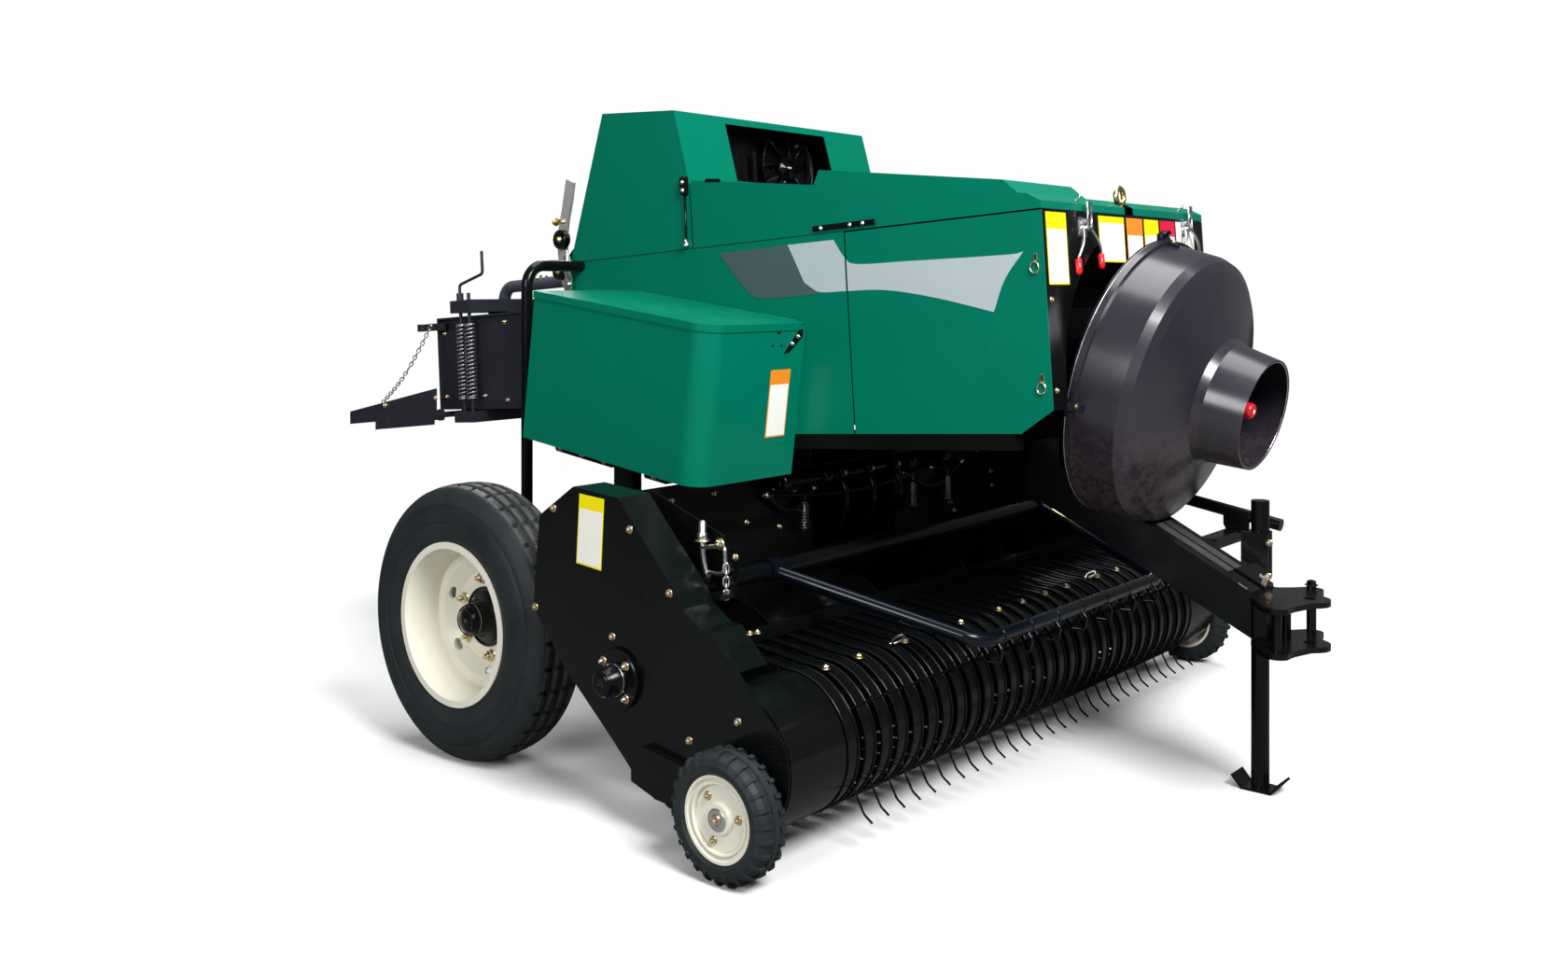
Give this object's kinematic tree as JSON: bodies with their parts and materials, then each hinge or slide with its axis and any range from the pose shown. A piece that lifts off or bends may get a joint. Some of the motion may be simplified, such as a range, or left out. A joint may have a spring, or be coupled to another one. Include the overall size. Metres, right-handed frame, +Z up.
{
  "type": "square baler",
  "caption": "Towed small square baler: wide tined pickup, auger, bale chamber with folding chute, hooded drive, twine boxes, tongue and jack.",
  "frame": {"origin": "on the ground, under the middle of the overall length and width", "axes": "+X forward to the hitch, +Y to the machine's left, +Z up"},
  "size_m": [4.11, 2.693, 2.0049],
  "materials": {
    "bare_steel": "worn bright steel",
    "black_paint": "gloss black frame paint",
    "black_plastic": "black moulded plastic",
    "brass": "yellow passivated",
    "cast": "painted casting",
    "chamber_paint": "satin dark grey paint",
    "cream_paint": "cream rim paint",
    "green_paint": "gloss green sheet-metal paint",
    "shield_plastic": "glossy dark grey moulded plastic",
    "tyre_rubber": "matt black tyre",
    "zinc": "zinc plated steel"
  },
  "bodies": {
    "chassis": {"axle": "black_paint", "bale_chamber": "chamber_paint", "bulkhead": "black_paint", "chassis_frame": "black_paint", "chute_hanger": "chamber_paint", "density_clamp": "chamber_paint", "density_springs": "bare_steel", "drive_shield": "shield_plastic", "feeder_housing": "black_paint", "front_panel": "black_paint", "gearbox": "cast", "gooseneck": "chamber_paint", "guard_hoops": "black_paint", "hitch_clevis": "black_paint", "hood_latches": "zinc", "hood_spine": "black_paint", "jack_sleeve": "black_paint", "knotter_tower": "green_paint", "lift_eye": "brass", "needle_arm": "black_paint", "rear_panel": "black_paint", "side_panels": "green_paint", "tongue": "black_paint", "tongue_brace": "black_paint", "twine_box_left": "green_paint", "twine_box_right": "green_paint"},
    "wheel_right": {"wheel_rim_right": "cream_paint", "wheel_tyre_right": "tyre_rubber"},
    "door_right": {"door_right": "green_paint"},
    "hood_right": {"hood_right": "green_paint"},
    "twine_lid_right": {"twine_lid_right": "green_paint"},
    "gauge_wheel_right": {"gauge_rim_right": "cream_paint", "gauge_tyre_right": "tyre_rubber"},
    "wheel_left": {"wheel_rim_left": "cream_paint", "wheel_tyre_left": "tyre_rubber"},
    "door_left": {"door_left": "green_paint"},
    "hood_left": {"hood_left": "green_paint"},
    "twine_lid_left": {"twine_lid_left": "green_paint"},
    "gauge_wheel_left": {"gauge_rim_left": "cream_paint", "gauge_tyre_left": "tyre_rubber"},
    "pickup": {"end_plate_right": "black_paint", "end_plate_left": "black_paint", "pickup_frame": "black_paint", "pickup_bands": "black_paint", "gauge_arm_right": "black_paint", "gauge_arm_left": "black_paint"},
    "reel": {"pickup_reel": "black_paint"},
    "auger": {"auger": "black_paint"},
    "windguard": {"windguard": "black_paint"},
    "input_rotor": {"input_rotor": "cast"},
    "knotter_fan": {"knotter_fan": "black_plastic"},
    "chute": {"chute": "chamber_paint"},
    "jack_leg": {"jack_leg": "black_paint"}
  },
  "joints": [
    {"name": "wheel_spin_right", "type": "hinge", "parent": "chassis", "child": "wheel_right", "pos_m": [-0.114, -1.119, 0.411], "axis": [0, 1, 0], "continuous": true},
    {"name": "door_swing_right", "type": "hinge", "parent": "chassis", "child": "door_right", "pos_m": [0.87401, -0.501, 0.98854], "axis": [0.068, 0, -0.9977], "range_deg": [0, 85]},
    {"name": "hood_lift_right", "type": "hinge", "parent": "chassis", "child": "hood_right", "pos_m": [0.21513, -0.477, 1.74347], "axis": [0, -1, 0], "range_deg": [0, 60]},
    {"name": "twine_lid_lift_right", "type": "hinge", "parent": "chassis", "child": "twine_lid_right", "pos_m": [-0.057, -0.518, 1.404], "axis": [-0.9919, 0, 0.1271], "range_deg": [0, 80]},
    {"name": "wheel_spin_left", "type": "hinge", "parent": "chassis", "child": "wheel_left", "pos_m": [-0.114, 1.119, 0.411], "axis": [0, 1, 0], "continuous": true},
    {"name": "door_swing_left", "type": "hinge", "parent": "chassis", "child": "door_left", "pos_m": [0.87401, 0.501, 0.98854], "axis": [-0.068, 0, 0.9977], "range_deg": [0, 85]},
    {"name": "hood_lift_left", "type": "hinge", "parent": "chassis", "child": "hood_left", "pos_m": [0.21513, 0.477, 1.74347], "axis": [0, -1, 0], "range_deg": [0, 60]},
    {"name": "twine_lid_lift_left", "type": "hinge", "parent": "chassis", "child": "twine_lid_left", "pos_m": [-0.057, 0.518, 1.404], "axis": [0.9919, 0, -0.1271], "range_deg": [0, 80]},
    {"name": "pickup_lift", "type": "hinge", "parent": "chassis", "child": "pickup", "pos_m": [0.638, 0, 0.391], "axis": [0, -1, 0], "range_deg": [0, 15]},
    {"name": "gauge_spin_right", "type": "hinge", "parent": "pickup", "child": "gauge_wheel_right", "pos_m": [1.08, -1.2975, 0.158], "axis": [0, 1, 0], "continuous": true},
    {"name": "gauge_spin_left", "type": "hinge", "parent": "pickup", "child": "gauge_wheel_left", "pos_m": [1.08, 1.2975, 0.158], "axis": [0, 1, 0], "continuous": true},
    {"name": "reel_spin", "type": "hinge", "parent": "pickup", "child": "reel", "pos_m": [1.091, 0, 0.25], "axis": [0, 1, 0], "continuous": true},
    {"name": "auger_spin", "type": "hinge", "parent": "pickup", "child": "auger", "pos_m": [0.638, 0, 0.391], "axis": [0, 1, 0], "continuous": true},
    {"name": "windguard_lift", "type": "hinge", "parent": "pickup", "child": "windguard", "pos_m": [0.746, 0, 0.615], "axis": [0, -1, 0], "range_deg": [0, 10]},
    {"name": "input_spin", "type": "hinge", "parent": "chassis", "child": "input_rotor", "pos_m": [1.506, 0, 1.156], "axis": [0.9715, 0, -0.2368], "continuous": true},
    {"name": "fan_spin", "type": "hinge", "parent": "chassis", "child": "knotter_fan", "pos_m": [0.03884, 0.15, 1.84472], "axis": [0.9977, 0, 0.068], "continuous": true},
    {"name": "chute_fold", "type": "hinge", "parent": "chassis", "child": "chute", "pos_m": [-1.414, 0, 0.893], "axis": [0, 1, 0], "range_deg": [0, 65]},
    {"name": "jack_slide", "type": "slide", "parent": "chassis", "child": "jack_leg", "axis": [0, 0, 1], "range_m": [-0.12, 0]}
  ]
}
